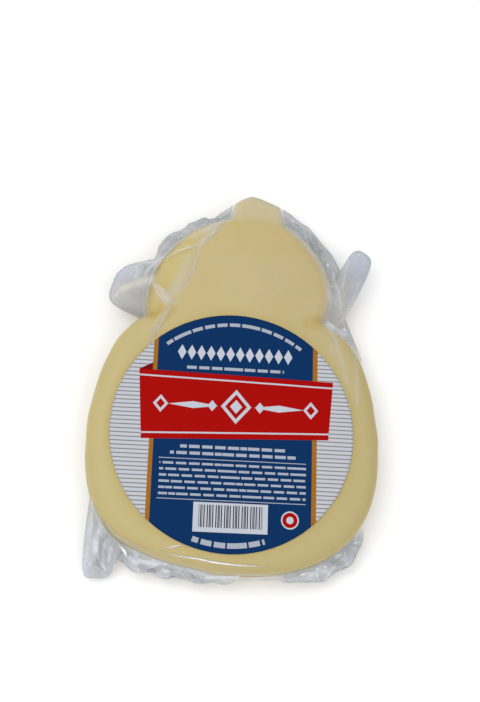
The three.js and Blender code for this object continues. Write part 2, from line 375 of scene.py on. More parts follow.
def newTree(name):
    material = bpy.data.materials.new(name)
    material.use_nodes = True
    material.node_tree.nodes.clear()
    return material, material.node_tree


def addNode(tree, kind, inputs, **settings):
    # one node with its settings, each socket linked to another node or set; gives the outputs
    node = tree.nodes.new("ShaderNode" + kind)
    for key, value in settings.items():
        setattr(node, key, value)
    for key, value in inputs.items():
        if isinstance(value, bpy.types.NodeSocket):
            tree.links.new(value, node.inputs[key])
        else:
            node.inputs[key].default_value = value
    return node.outputs


def maths(tree, operation, *values):
    return addNode(tree, "Math", dict(enumerate(values)), operation=operation)[0]


def mixColour(tree, factor, low, high):
    return addNode(tree, "Mix", {"Factor": factor, "A": low, "B": high}, data_type="RGBA")["Result"]


def mixShader(tree, factor, low, high):
    return addNode(tree, "MixShader", {0: factor, 1: low, 2: high})[0]


def rangeOf(tree, value, fromLow, fromHigh, toLow=0.0, toHigh=1.0):
    ends = {"Value": value, "From Min": fromLow, "From Max": fromHigh, "To Min": toLow, "To Max": toHigh}
    return addNode(tree, "MapRange", ends, interpolation_type="SMOOTHSTEP")["Result"]


def objectPoint(tree):
    return addNode(tree, "TexCoord", {})["Object"]


def splitPoint(tree, point):
    return addNode(tree, "SeparateXYZ", {0: point})


def noise(tree, vector, scale, detail, output="Fac"):
    return addNode(tree, "TexNoise", {"Vector": vector, "Scale": scale, "Detail": detail})[output]


def attribute(tree, name):
    return addNode(tree, "Attribute", {}, attribute_name=name)["Fac"]


def bump(tree, height, strength, distance):
    return addNode(tree, "Bump", {"Height": height, "Strength": strength, "Distance": distance})["Normal"]


# cheese

cheeseLook = {
    "columns": 440, "faceRows": 54, "edgeRows": 22, "wallRows": 6, "backRows": 12, "baseRows": 10,
    "butter": (0.54, 0.445, 0.248, 1), "straw": (0.525, 0.43, 0.222, 1), "pale": (0.565, 0.508, 0.326, 1),
    "gold": (0.53, 0.435, 0.172, 1), "shadeGold": (0.5, 0.37, 0.1, 1), "lowerTone": (0.495, 0.425, 0.2, 1),
    # painted light: a lighter, yellower colour for the side the light falls on
    "leftLight": (0.6, 0.505, 0.235, 1),
    "cloudNoise": (38.0, 3.0), "cloudSpan": (0.35, 0.68),
    "speckNoise": (420.0, 2.0), "speckSpan": (0.55, 0.8, 0.0, 0.3),
    "grainNoise": (900.0, 3.0), "grainBump": (0.1, 0.0003),
    # where a colour starts and is full, in metres along the slab or across it, and its share there
    # the second span is painted light: lighter and yellower towards the left, where the light falls
    "lowerSpan": (0.062, 0.03, 0.0, 0.6), "leftLightSpan": (0.045, -0.03, 0.0, 0.35),
    "knobSpan": (0.094, 0.101, 0.0, 0.85),
    "roughness": 0.5, "specular": 0.25, "glow": 0.35, "glowRadius": (1.0, 0.6, 0.22), "glowScale": 0.006,
    # golden rind: share and span on the rounded edge, where it also holds painted shade of the edge turning
    # away, on the bevel, where it is painted shade of the slope, and below the knob
    "edgeGold": 0.5, "edgeSpan": (0.1, 0.9), "bevelGold": 0.95, "bevelSpan": (0.0, 5.0),
    "browGold": 0.45, "browStart": (74.0, 94.0), "browEnd": (94.0, 98.0),
    # painted shadow: a golden ring on the cheese round the label's edge
    "haloReach": 1.0, "haloWidth": 1.3, "haloDepth": 0.35,      # golden ring round the label
    "shadeFade": (4.0, 14.0),
    # painted shade: darker, deeper gold in the corners of the neck where shade falls
    "neckShades": strokes(             # deep golden streaks in the corners of the neck
        (1.7, 0.95, (35.0, 50.4), (30.8, 49.7)),
        (1.2, 0.5, (38.6, 48.8), (41.0, 41.0)),
        (2.2, 0.45, (-29.8, 61.4), (-31.4, 62.8)),
        (2.2, 0.95, (-31.8, 53.4), (-33.4, 51.2), (-35.4, 49.8)),
        (1.4, 0.55, (-26.8, 52.6), (-27.8, 50.2), (-29.6, 47.6)),
    ),
}


def cheeseMaterial():
    look = cheeseLook
    material, tree = newTree("cheese")
    smooth, mix = partial(rangeOf, tree), partial(mixColour, tree)
    point = objectPoint(tree)
    places = splitPoint(tree, point)
    clouds = smooth(noise(tree, point, *look["cloudNoise"]), *look["cloudSpan"])
    colour = mix(clouds, look["butter"], look["straw"])
    for share, layer in (
        (smooth(noise(tree, point, *look["speckNoise"]), *look["speckSpan"]), "pale"),
        # golden rind, with painted shade on the rounded edge and the bevel
        (attribute(tree, "rindAndShade"), "gold"),
        # darker, more olive towards the bottom
        (smooth(places["Y"], *look["lowerSpan"]), "lowerTone"),
        # painted light: the left side lighter and yellower
        (smooth(places["X"], *look["leftLightSpan"]), "leftLight"),
        (smooth(places["Y"], *look["knobSpan"]), "pale"),
        # painted shade in the neck's corners and round the label's edge
        (attribute(tree, "hollow"), "shadeGold"),
    ):
        colour = mix(share, colour, look[layer])
    grain = noise(tree, point, *look["grainNoise"])
    shader = addNode(tree, "BsdfPrincipled", {
        "Base Color": colour, "Roughness": look["roughness"], "Specular IOR Level": look["specular"],
        "Subsurface Weight": look["glow"], "Subsurface Radius": look["glowRadius"],
        "Subsurface Scale": look["glowScale"], "Normal": bump(tree, grain, *look["grainBump"]),
    })
    addNode(tree, "OutputMaterial", {"Surface": shader[0]})
    return material


def makeCheese():
    look, gap = cheeseLook, slab["filmGap"]
    angle = evenAngles(look["columns"])
    face, edge, inset = frontRows(angle, gap, 1, look)
    back = [part[1:] for part in backRows(angle, gap, look)]
    share, top = steps(look["wallRows"]), edge[2][-1]
    wall = (*pearPoint(angle, gap + 0 * share), top + (slab["backRound"] + gap - top) * share)
    x, y, z = (np.vstack(parts) for parts in zip(face, edge, wall, back))
    poles = [(middleX, middleY, float(frontHeight(middleX, middleY, 1))), (middleX, middleY, gap)]

    # colour values: golden rind with painted shade on the edge and the bevel, and painted shade in the
    # corners of the neck and round the label's edge
    onEdge = np.vstack([0 * face[0], 1 - inset / edgeWidth(angle), 1 + 0 * wall[0], 1 + 0 * back[0]])
    onBevel = ramp(bevelledSide(x, y), *look["bevelSpan"])
    brow = ramp(y, *look["browStart"]) * (1 - ramp(y, *look["browEnd"]))
    # painted shade on the rounded edge and the bevel, with the rind's gold
    rindAndShade = np.max([look["edgeGold"] * ramp(onEdge, *look["edgeSpan"]), look["bevelGold"] * onBevel,
                   look["browGold"] * brow], axis=0)
    # painted shadow of the label on the cheese round its edge
    fromRing = np.hypot(x, y) - labelRadius - look["haloReach"]
    labelShadow = look["haloDepth"] * np.exp(-(fromRing / look["haloWidth"]) ** 2)
    # painted shade in the neck's corners, with the label's painted shadow, fading out low on the slab
    hollow = np.maximum(strokesAt(x, y, look["neckShades"]).max(axis=0), labelShadow) * ramp(z, *look["shadeFade"])
    grid = closedGrid(x, y, z, poles, {"rindAndShade": rindAndShade, "hollow": hollow})
    return addPiece("cheese", [grid], cheeseMaterial())


cheese = makeCheese()
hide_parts("sealed_bag")


# film: a closed bag, tight over the cheese, with a soft skirt and three ears

filmLook = {
    "columns": 660, "faceRows": 64, "edgeRows": 14, "wallRows": 2, "skirtRows": 28,
    "backRows": 6, "baseRows": 5,
    "seamHeight": 8.5, "seamHalf": 0.8, "rimLeast": 0.25, "rippleCount": 31, "rippleReach": 0.09,
    "earSteps": 400, "rimSteps": 800, "rimShare": 0.8,  # fine steps of the edge, its share in the spacing
    "liftInset": 5.5, "wallLeast": 0.12, "floorClear": 0.7, "layerRise": 0.2, "layerGap": 0.08,
    # crumples: folds along the edge and their drift, flat facets, how they grow from the root
    "edgeFold": 3.4, "edgeDrift": ((0.5, 9.0, 0.0), (0.35, 4.1, 1.0)),
    "facetWaves": (23, 6, (5, 12)), "facetRise": 2.2, "growReach": 3.5, "growFree": 5.0, "underShare": 0.8,
    "earFade": 2.0, "earDrift": 0.03, "earCalm": 0.4, "earCalmFrom": 4.0,
    "puff": 0.8, "puffLeast": 0.15, "puffFree": 10.0,
    # shares of slack, haze, grey and dark edge in the loose film
    "slackSpan": (1.0, 5.0), "slackLeast": 0.6, "slackReach": 2.0,
    "hazeLeast": 0.17, "hazeMilk": 0.3, "rootReach": 2.5, "wallMilk": 0.6, "uprightSpan": (0.3, 2.0),
    "thickness": 0.58, "thickMilk": 0.75, "rimBand": 0.9, "rimMilk": 0.4, "rimShade": 0.5, "warmth": 0.3,
    "clearTint": (0.985, 0.985, 0.985, 1), "slackTint": (0.49, 0.525, 0.575, 1),
    "rimTint": (0.5, 0.5, 0.51, 1), "warmTint": (0.56, 0.53, 0.485, 1),
    "milkAndHighlight": (0.72, 0.8, 0.95, 1), "cream": (0.86, 0.81, 0.69, 1),
    "levelCells": (1.0, 2.4, 1.0), "steepCells": (2.8, 0.6, 1.0),
    "steepPlace": {"atDeg": 214, "spreadDeg": 24},
    "cellScale": 150.0, "cellNoise": (90.0, 2.0), "cellWarp": 0.005,
    "cellShade": 0.5, "cellHaze": 0.8, "ridgeSpan": (0.0, 0.08, 0.16, 0.0),
    "patchNoise": (70.0, 2.0), "patchSpan": (0.3, 0.7, 0.85, 1.05),
    "wispNoise": (45.0, 2.0), "wispSpan": (0.3, 0.7, 0.75, 1.25),
    "glossRoughness": (0.0, 0.6, 0.36, 0.24), "glossIndex": (0.0, 0.6, 1.12, 1.36),
    "lobes": rows(
        "atDeg spreadDeg reach droop",
        (71, 11.5, 4.1, 0), (106, 10.5, 4.9, 0), (226, 23.5, 5.8, 2.5), (243, 22, 1.7, 0),
        (255.5, 18.5, 3.2, 2), (274, 10.5, 1.8, 1), (288.5, 8.5, 2.0, 1), (311, 21.5, 6.9, 2.5),
    ),
    "tautRuns": (                  # film stretched straight between the body, the ears and the knob
        ((56.2, 36.5), (47.4, 59.0)), ((18.8, 106.2), (48.5, 75.1)), ((-1.4, 107.3), (-38.9, 77.1)),
    ),
    "scallops": rows(              # small notches of the film's edge
        "atDeg spreadDeg depth",
        (75.5, 2.2, 0.7), (97, 2.0, 0.6), (105, 2.0, 1.0), (114.6, 2.6, 2.0),
        (240, 2.5, 0.8), (249, 2.0, 0.7), (303, 2.5, 0.6),
    ),
    "ears": rows(                  # tip from the middle of the root, skew of the two flanks
        "fromDeg toDeg tip skew bluntness foldLength foldHeight",
        (50.7, 60.75, (9.7, 19.45, 2.5), (3.9, 7.95, 0), 3.75, 7.0, 0.25),
        (114.55, 127.6, (-15.85, 0.65, 1), (0.6, -4.95, 0), 3.8, 11.0, 0.3),
        (203.3, 227.0, (-1.9, -20.2, -4), (-0.5, -12.7, 0), 4.6, 4.6, 0.5),
    ),
    "webs": rows("atDeg spreadDeg", (119, 22), (52, 14), (77, 7)),      # where it leaves the front face early
    "crumples": rows(              # heights of folds along the edge and of facets, share of flat cells
        "atDeg spreadDeg along facets cells",
        (72, 16, 0.3, 0.3, 0.35), (103, 18, 0.3, 0.4, 0.5), (216, 18, 0.0, 0.5, 0.7),
        (248, 26, 0.4, 0.6, 1.0), (282, 22, 0.35, 0.4, 0.8), (312, 24, 0.2, 0.9, 0.8),
    ),
    # milk at the root is also painted light over the dark contact line under the skirt
    "veils": rows(                 # milkier film, over all of the skirt and at its root
        "atDeg spreadDeg amount root",
        (216, 22, 0.34, 0.1), (246, 26, 0.46, 0.5), (273, 22, 0.36, 0.25),
        (310, 26, 0.12, 0.0), (64, 18, 0.0, 0.2),
    ),
    # the veil is partly painted light over the shade of the cheese's rounded edge
    "borders": rows(               # pale veil over the cheese's edge where the film stands off it
        "atDeg spreadDeg haze width",
        (66, 17, 0.34, 5.0), (80, 5, 0.1, 3.0), (101, 12, 0.1, 3.0),
        (86, 6, 0.48, 2.3), (124.5, 7, 0.16, 2.5), (250, 40, 0.1, 1.8),
    ),
    "clouds": strokes(             # soft patches of greyer film, or of clearer film where negative
        (3.0, -0.1, (45.0, 77.0), (46.5, 73.0)),
        (4.0, 0.16, (33.0, 90.0), (37.0, 84.0)),
        (2.4, 0.24, (34.5, 91.5), (37.2, 88.5)),
        (3.6, 0.17, (-31.5, 84.0), (-26.3, 88.5)),
        (2.6, 0.6, (-54.7, -58.0), (-53.5, -58.6)),
        (4.5, 0.22, (42.0, 74.0), (46.5, 73.0)),
        (6.0, 0.1, (50.0, 66.0), (57.0, 82.0)),
        (3.0, 0.15, (43.0, -53.5), (48.0, -50.0)),
        (5.0, 0.17, (-40.0, 53.0), (-39.5, 60.7)),
        (3.5, 0.25, (-37.1, 70.5), (-38.0, 72.5)),
        (2.5, 0.25, (49.1, -44.8), (52.1, -41.4)),
        (0.7, 0.9, (27.4, 94.2), (29.6, 91.2)),
        (3.6, 0.08, (21.5, 99.6), (30.0, 93.5)),
        (2.6, 0.33, (-4.6, 100.6), (-12.4, 96.4)),
        # thin dark lines in the folds of the lower ear and between facets of the bottom skirt: painted shade
        (0.8, 0.7, (-51.3, -45.8), (-52.3, -51.9), (-53.3, -56.6)),
        (0.6, 0.8, (-22.7, -55.7), (-21.6, -58.9)),
        (0.6, 0.35, (-31.5, -57.0), (-22.7, -55.2)),
        (0.6, 0.8, (-14.6, -58.1), (-9.9, -60.2)),
    ),
    "warmths": strokes(            # creamier film, or bluer where negative: ears and right of the head
        (3.0, 0.47, (-37.0, 66.8), (-42.8, 65.6), (-49.6, 62.6)),
        (5.0, 0.31, (-46.0, 58.5), (-40.5, 55.0)),
        # painted reflection: bluer film on the left ear's upper flank
        (4.0, -0.25, (-50.0, 70.5), (-46.0, 72.5)),
        (3.6, 0.36, (47.5, 69.0), (46.0, 62.0), (45.0, 54.0)),
        (3.6, 0.18, (34.0, 89.0), (41.0, 78.0), (42.5, 70.0)),
        # painted reflection: bluer film at the right ear's tip
        (4.0, -0.3, (58.0, 86.0), (54.0, 77.0)),
    ),
    "smears": strokes(             # milky marks of doubled film
        # along the long fold and the web beside it
        (0.9, 0.2, (-5.4, 95.8), (-10.5, 89.1), (-15.9, 84.0), (-17.4, 80.3), (-18.2, 74.9), (-19.1, 71.3),
         (-21.8, 65.8), (-24.9, 61.0), (-27.9, 54.9), (-32.3, 45.2), (-37.0, 36.6)),
        (1.2, 0.32, (-9.0, 91.2), (-15.9, 84.2)),
        (0.7, 0.2, (-15.9, 84.0), (-19.9, 82.3), (-27.4, 79.3), (-31.0, 76.8)),
        (0.6, 0.2, (-19.5, 82.0), (-19.9, 79.1), (-18.5, 74.1)),
        (2.4, 0.19, (-21.4, 76.6), (-24.2, 67.4), (-28.1, 60.1)),
        (1.6, 0.12, (-30.5, 51.0), (-36.0, 42.0)),
        (0.8, 0.26, (-36.4, 64.3), (-28.7, 58.4)),
        (0.7, 0.26, (-36.4, 64.3), (-30.3, 54.2)),
        (2.0, 0.28, (-32.6, 60.0), (-29.4, 56.2)),
        # beside the knob
        (1.8, 0.3, (-6.5, 97.0), (-10.6, 92.6)),
        (1.8, 0.3, (-10.6, 92.4), (-14.5, 90.3)),
        (1.5, 0.16, (-14.5, 90.3), (-19.4, 86.7)),
        (1.6, 0.26, (-4.4, 97.4), (-2.2, 100.8)),
        (1.4, 0.2, (17.6, 97.6), (18.2, 101.0)),
        # left ear
        (2.4, 0.34, (-37.2, 66.4), (-42.8, 65.3)),
        (1.6, 0.24, (-42.8, 65.3), (-49.6, 62.6)),
        (0.8, 0.26, (-44.0, 73.4), (-43.1, 70.1), (-44.4, 67.6)),
        (0.8, 0.3, (-35.4, 75.4), (-38.5, 71.9), (-40.0, 69.0)),
        (0.7, 0.3, (-33.4, 77.6), (-37.0, 76.4), (-40.5, 75.4)),
        (4.5, 0.12, (-50.6, 69.0), (-44.6, 72.0)),
        # right of the neck and the right ear
        (1.2, 0.14, (38.8, 49.8), (39.6, 46.4), (42.4, 35.0)),
        (1.2, 0.17, (42.6, 46.0), (44.3, 37.6), (48.3, 23.9)),
        (1.0, 0.17, (50.4, 43.6), (52.1, 34.1), (52.5, 15.0)),
        (0.6, 0.14, (20.4, 102.6), (25.4, 97.4), (29.4, 93.6), (32.6, 88.6)),
        (0.8, 0.2, (43.4, 75.4), (43.2, 70.5), (44.8, 66.2), (46.5, 55.0)),
        (1.0, 0.14, (54.6, 72.0), (53.4, 68.3), (49.0, 57.0)),
        (0.9, 0.14, (50.0, 82.6), (48.4, 77.0), (46.6, 68.0)),
        (2.6, 0.08, (57.2, 84.0), (55.2, 76.0), (50.6, 67.5)),
        (3.6, 0.1, (44.2, 62.0), (45.0, 55.0)),
        (2.2, 0.42, (40.1, 49.3), (42.8, 47.2), (47.6, 47.9)),
        # lower ear and the skirt beside it: painted highlights on the crumpled film
        (1.2, 0.7, (-53.5, -46.6), (-53.2, -49.8)),
        (0.7, 0.8, (-50.4, -55.1), (-48.9, -57.3)),
        (0.8, 0.45, (-47.3, -49.0), (-48.0, -53.6)),
        (1.6, 0.12, (-56.2, -35.0), (-55.8, -42.0)),
        (0.9, 0.55, (-35.5, -53.4), (-27.4, -55.4)),
        (1.0, 0.5, (-39.6, -52.6), (-36.4, -54.6)),
        (0.5, 0.35, (-52.6, -42.0), (-53.0, -47.0), (-52.2, -53.0)),
        (0.5, 0.4, (-49.6, -46.0), (-50.4, -51.0), (-49.8, -54.0)),
        (0.9, 0.65, (-28.8, -55.5), (-24.0, -57.1)),
        (1.0, 0.55, (-20.4, -56.0), (-14.6, -58.6)),
        (0.8, 0.5, (-7.6, -59.2), (-1.0, -59.0), (5.1, -58.4)),
        # lower right of the skirt
        (1.5, 0.28, (35.0, -56.2), (41.0, -54.4)),
        (1.6, 0.14, (48.0, -50.0), (53.2, -44.0)),
        (0.9, 0.12, (28.0, -57.8), (36.0, -58.4)),
    ),
    # marks along these creases: pale ones are painted highlights, dark ones painted shade
    "creases": rows(               # small creases of the loose film: sweep along its edge and rise across it
        "seed fromDeg toDeg count sweepDeg rise width amount",
        (4, 62, 80, 9, (3, 8), (-0.2, 0.2), (0.3, 0.6), (0.1, 0.3)),
        (5, 92, 113, 12, (3, 8), (-0.2, 0.3), (0.3, 0.6), (0.1, 0.35)),
        (8, 230, 262, 22, (3, 9), (-0.4, 0.4), (0.3, 0.7), (0.25, 0.6)),
        (9, 262, 294, 14, (3, 9), (-0.4, 0.4), (0.3, 0.6), (0.25, 0.6)),
        (10, 296, 326, 12, (3, 9), (-0.6, 0.2), (0.3, 0.9), (0.15, 0.45)),
    ),
    "creasePlace": (0.15, 0.85), "creaseBend": (-0.6, 0.6), "creaseLevel": 0.1, "darkShare": 0.4,
}


def tautReach(angle, run):
    # crossing of a ray with a straight run of film: cross(from, to) / cross(ray, to - from), 0 beside it
    (fromX, fromY), (toX, toY) = np.subtract(run, (middleX, middleY))
    rayX, rayY = np.cos(angle), np.sin(angle)
    between = (fromX * rayY - fromY * rayX) * (toX * rayY - toY * rayX) < 0
    away = rayX * (toY - fromY) - rayY * (toX - fromX)
    return np.where(between & (rayY > 0), (fromX * toY - fromY * toX) / away, 0)


def rimPoints(angle):
    # film edge between the ears: the outline or a taut run, the lobes' reach and a slight ripple
    look = filmLook
    base = np.max([pearReach(angle)] + [tautReach(angle, run) for run in look["tautRuns"]], axis=0)
    reach = look["rimLeast"] + bumps(angle, look["lobes"], "reach").sum(axis=0)
    height = look["seamHeight"] - bumps(angle, look["lobes"], "droop").sum(axis=0)
    reach = base + reach * (1 + look["rippleReach"] * np.sin(look["rippleCount"] * angle))
    reach = reach - bumps(angle, look["scallops"], "depth").sum(axis=0)
    return np.stack([middleX + reach * np.cos(angle), middleY + reach * np.sin(angle), height], axis=-1)


def earPoints(ear, share):
    # half of a blunt oval, from the root's first point over the tip to its last
    first, last = rimPoints(np.radians([ear["fromDeg"], ear["toDeg"]]))
    turn, power = math.pi * share[:, None], 2 / ear["bluntness"]
    along = np.abs(np.sin(turn)) ** power
    across = np.sign(np.cos(turn)) * np.abs(np.cos(turn)) ** power
    root = first + (last - first) * (0.5 - 0.5 * across)
    return root + np.array(ear["tip"]) * along + np.array(ear["skew"]) * along * across


def filmColumns(count):
    # directions on the slab and film edge points that belong to them, spaced evenly along the edge
    look, ears = filmLook, filmLook["ears"]
    angles, points = [], []
    for number, ear in enumerate(ears):
        share = np.linspace(0, 1, look["earSteps"] + 1)[:-1]
        angles.append(np.radians(ear["fromDeg"] + (ear["toDeg"] - ear["fromDeg"]) * share))
        points.append(earPoints(ear, share))
        nextDeg = ears[number + 1]["fromDeg"] if number + 1 < len(ears) else ears[0]["fromDeg"] + 360
        between = np.radians(np.linspace(ear["toDeg"], nextDeg, look["rimSteps"] + 1)[:-1])
        angles.append(between)
        points.append(rimPoints(between))
    angles = np.concatenate(angles + [angles[0][:1] + 2 * math.pi])
    points = np.concatenate(points + [points[0][:1]])
    rootX, rootY = pearPoint(angles, 0)
    onEdge = np.linalg.norm(np.diff(points, axis=0), axis=1)
    onRoot = np.hypot(np.diff(rootX), np.diff(rootY))
    step = look["rimShare"] * onEdge + (1 - look["rimShare"]) * onRoot
    run = np.concatenate([[0], np.cumsum(step)])
    wanted = np.arange(count) * run[-1] / count
    rim = np.stack([np.interp(wanted, run, points[:, axis]) for axis in range(3)], axis=-1)
    return np.interp(wanted, run, angles), rim, wanted


def earFolds(x, y, angle):
    # waves across each ear, so that the folds run from its root to its tip
    look, turned = filmLook, np.degrees(angle) % 360
    height = 0 * x
    for ear in look["ears"]:
        root = rimPoints(np.radians([ear["fromDeg"], ear["toDeg"]])).mean(axis=0)
        along, across = lineFrame(x, y, root, ear["tip"][:2])
        inside = ramp(turned, ear["fromDeg"], ear["fromDeg"] + look["earFade"])
        inside = inside * (1 - ramp(turned, ear["toDeg"] - look["earFade"], ear["toDeg"]))
        wave = np.cos(2 * math.pi * across / ear["foldLength"] + look["earDrift"] * along)
        calm = 1 - look["earCalm"] * ramp(along, look["earCalmFrom"], math.hypot(*ear["tip"][:2]))
        height = height + inside * ear["foldHeight"] * wave * calm
    return height


def creaseMarks(angle, share, free):
    # bells across short bent runs of the loose film, at seeded places; pale ones as painted highlights, then
    # dark ones as painted shade in the creases
    look = filmLook
    marks = [0 * share * angle, 0 * share * angle]
    for region in look["creases"]:
        draw = np.random.default_rng(region["seed"])
        spans = [(region["fromDeg"], region["toDeg"]), look["creasePlace"], region["sweepDeg"],
                 region["rise"], look["creaseBend"], region["width"], region["amount"], (0, 1)]
        for number in range(region["count"]):
            place, across, sweep, rise, bend, width, amount, chance = [draw.uniform(*span) for span in spans]
            step = np.clip(((np.degrees(angle) - place + 180) % 360 - 180) / sweep, -0.5, 0.5)
            middle = across + rise * step + bend * (step ** 2 - look["creaseLevel"])
            bell = amount * np.cos(math.pi * step) * np.exp(-((share - middle) * free / width) ** 2)
            dark = int(chance < look["darkShare"])
            marks[dark] = np.maximum(marks[dark], bell)
    return marks


def facetCells(tree, point, stretch):
    # flat cells of a crumpled sheet, longer one way and bent by a slow noise: a random value for each
    # cell and the distance to its border
    look = filmLook
    drift = noise(tree, point, *look["cellNoise"], output="Color")
    warp = {0: drift, 1: (look["cellWarp"],) * 3, 2: point}
    warped = addNode(tree, "VectorMath", warp, operation="MULTIPLY_ADD")[0]
    turned = addNode(tree, "Mapping", {"Vector": warped, "Scale": stretch})[0]
    inputs = {"Scale": look["cellScale"], "Vector": turned}
    cell = partial(addNode, tree, "TexVoronoi", inputs, voronoi_dimensions="2D")
    return splitPoint(tree, cell(feature="F1")["Color"])["X"], cell(feature="DISTANCE_TO_EDGE")["Distance"]


def filmMaterial():
    look = filmLook
    material, tree = newTree("film")
    calc, smooth, mix = partial(maths, tree), partial(rangeOf, tree), partial(mixColour, tree)
    point = objectPoint(tree)
    slack, haze, thickAndShade, rimEdge, crush, upright, warm = (
        attribute(tree, name) for name in ("slack", "haze", "thickAndShade", "rimEdge", "crush", "upright", "warm"))

    # flat cells as painted light and shade of the crumpled film's facets, stretched another way on the lower
    # ear, with painted highlights on the ridges between them
    level, steep = (facetCells(tree, point, look[key]) for key in ("levelCells", "steepCells"))
    cell, border = (calc("MULTIPLY_ADD", upright, calc("SUBTRACT", b, a), a) for a, b in zip(level, steep))
    uneven = calc("MULTIPLY", crush, calc("SUBTRACT", cell, 0.5))
    ridge = calc("MULTIPLY", crush, smooth(border, *look["ridgeSpan"]))

    # clear film, greyer where it is thick, where shade is painted into creases and facets, and along its edge
    patches = smooth(noise(tree, point, *look["patchNoise"]), *look["patchSpan"])
    patches = calc("MULTIPLY", patches, calc("MULTIPLY_ADD", uneven, -look["cellShade"], 1.0))
    shade = calc("MULTIPLY", thickAndShade, patches)
    tint = mix(shade, look["clearTint"], mix(warm, look["slackTint"], look["warmTint"]))
    tint = mix(calc("MULTIPLY", rimEdge, look["rimShade"]), tint, look["rimTint"])
    clear = addNode(tree, "BsdfTransparent", {"Color": tint})[0]

    # milky haze in wisps, which also carries the painted highlights and light, then the gloss
    milkAndHighlight = addNode(tree, "BsdfDiffuse", {"Color": mix(warm, look["milkAndHighlight"], look["cream"])})[0]
    wisps = smooth(noise(tree, point, *look["wispNoise"]), *look["wispSpan"])
    wisps = calc("MULTIPLY", wisps, calc("MULTIPLY_ADD", uneven, look["cellHaze"], 1.0))
    body = mixShader(tree, calc("MULTIPLY_ADD", haze, wisps, ridge), clear, milkAndHighlight)
    roughness = smooth(slack, *look["glossRoughness"])
    gloss = addNode(tree, "BsdfGlossy", {"Color": (1, 1, 1, 1), "Roughness": roughness})[0]
    fresnel = addNode(tree, "Fresnel", {"IOR": smooth(slack, *look["glossIndex"])})[0]
    addNode(tree, "OutputMaterial", {"Surface": mixShader(tree, fresnel, body, gloss)})
    return material


def skirtRows(angle, rim, run, free, root, rootTop):
    # straight from root to edge, with folds along its edge, facets and the ears' own folds; a thin gap
    # between its upper and its under layer
    look, share = filmLook, steps(filmLook["skirtRows"])
    x, y = (root[axis] + (rim[:, axis] - root[axis]) * share for axis in (0, 1))
    reach = share * free
    along, facets = (bumps(angle, look["crumples"], key).sum(axis=0) for key in ("along", "facets"))
    drift = sum(height * np.sin(run / length + start) for height, length, start in look["edgeDrift"])
    edgeFolds = along * sineWave(reach / look["edgeFold"] + drift)
    flats = facets * look["facetRise"] * crossedWaves(x, y, triangleWave, *look["facetWaves"])
    grow = ramp(reach, 0, look["growReach"]) * np.minimum(free / look["growFree"], 1)
    crumple = grow * (edgeFolds + flats + earFolds(x, y, angle))
    puff = look["puffLeast"] + look["puff"] * np.sin(math.pi * share) * np.minimum(free / look["puffFree"], 1)
    rootUnder = look["seamHeight"] - look["seamHalf"]
    overZ = rootTop + (rim[:, 2] - rootTop) * share + crumple + puff / 2
    underZ = rootUnder + (rim[:, 2] - rootUnder) * share + crumple * look["underShare"] - puff / 2
    overZ = np.maximum(overZ, look["floorClear"] + look["layerRise"])
    underZ = np.minimum(np.maximum(underZ, look["floorClear"]), overZ - look["layerGap"])
    up = slice(None, None, -1)
    underX, underY = np.vstack([x[up], root[0]]), np.vstack([y[up], root[1]])
    return (x, y, overZ), (underX, underY, np.vstack([underZ[up], rootUnder + 0 * free]))


def filmShades(angle, free, web, inset, front, x, y):
    # slack film, its haze with painted highlights and light, thick grey film with painted shade in the
    # creases, the dark line along its edge, flat cells and warmth
    look, share, up = filmLook, steps(filmLook["skirtRows"]), slice(None, None, -1)
    reach = share * free
    tight = np.zeros((len(front[0]) - len(share), len(angle)))
    below = np.zeros((len(x) - len(front[0]) - len(share), len(angle)))
    face = np.zeros((look["faceRows"], len(angle)))
    skirt = slice(len(tight), len(front[0]))
    slackness = ramp(free, *look["slackSpan"])
    loose = slackness * (look["slackLeast"] + (1 - look["slackLeast"]) * ramp(reach, 0, look["slackReach"]))
    milky, rootMilkAndLight = (bumps(angle, look["veils"], key).max(axis=0) for key in ("amount", "root"))
    rimLine = slackness * (1 - ramp(free - reach, 0, look["rimBand"]))

    # haze and painted light: veil over the cheese's edge, partly painted light over its shade, fading down
    # the wall, milky skirt with painted light at its root, smears, and pale creases as painted highlights
    veil = np.max([haze * ramp(-inset, -border["width"], 0)
                   for haze, border in zip(bumps(angle, look["borders"], "haze"), look["borders"])], axis=0)
    down = steps(look["wallRows"])
    wallHaze = veil[-1:] * (1 - down) + look["wallMilk"] * rootMilkAndLight * down
    looseHaze = loose * (look["hazeLeast"] + look["hazeMilk"] * milky)
    skirtHaze = looseHaze + slackness * rootMilkAndLight * (1 - ramp(reach, 0, look["rootReach"]))
    # painted highlights and painted shade along the creases
    pale, dark = creaseMarks(angle, share, free)
    onEdge = (1 - web) * (1 - ramp(inset, *look["uprightSpan"]))
    upright = np.vstack([face, onEdge, 1 + 0 * wallHaze, 0 * reach])
    marks = strokesAt(front[0], front[1], look["smears"]).max(axis=0) * (1 - upright)
    marks[skirt] = np.maximum(marks[skirt], pale * slackness)
    hazeFront = np.vstack([face, veil, wallHaze, skirtHaze])
    haze = np.vstack([1 - (1 - hazeFront) * (1 - marks), looseHaze[up], below])

    slack = np.vstack([tight, loose, loose[up], below])
    rimEdge = np.vstack([tight, rimLine, rimLine[up], below]) * (1 - look["rimMilk"] * milky)
    # grey of the film, with painted shade of the dark lines and creases
    thickAndShade = look["thickness"] * (1 - look["thickMilk"] * milky) + strokesAt(x, y, look["clouds"]).sum(axis=0)
    thickAndShade[skirt] += dark
    cells = bumps(angle, look["crumples"], "cells").max(axis=0)
    return {
        "slack": slack, "haze": haze, "thickAndShade": np.clip(thickAndShade, 0, 1) * slack, "rimEdge": rimEdge,
        "crush": cells * slack, "upright": bumpAround(angle, look["steepPlace"]),
        "warm": look["warmth"] + strokesAt(x, y, look["warmths"]).sum(axis=0),
    }


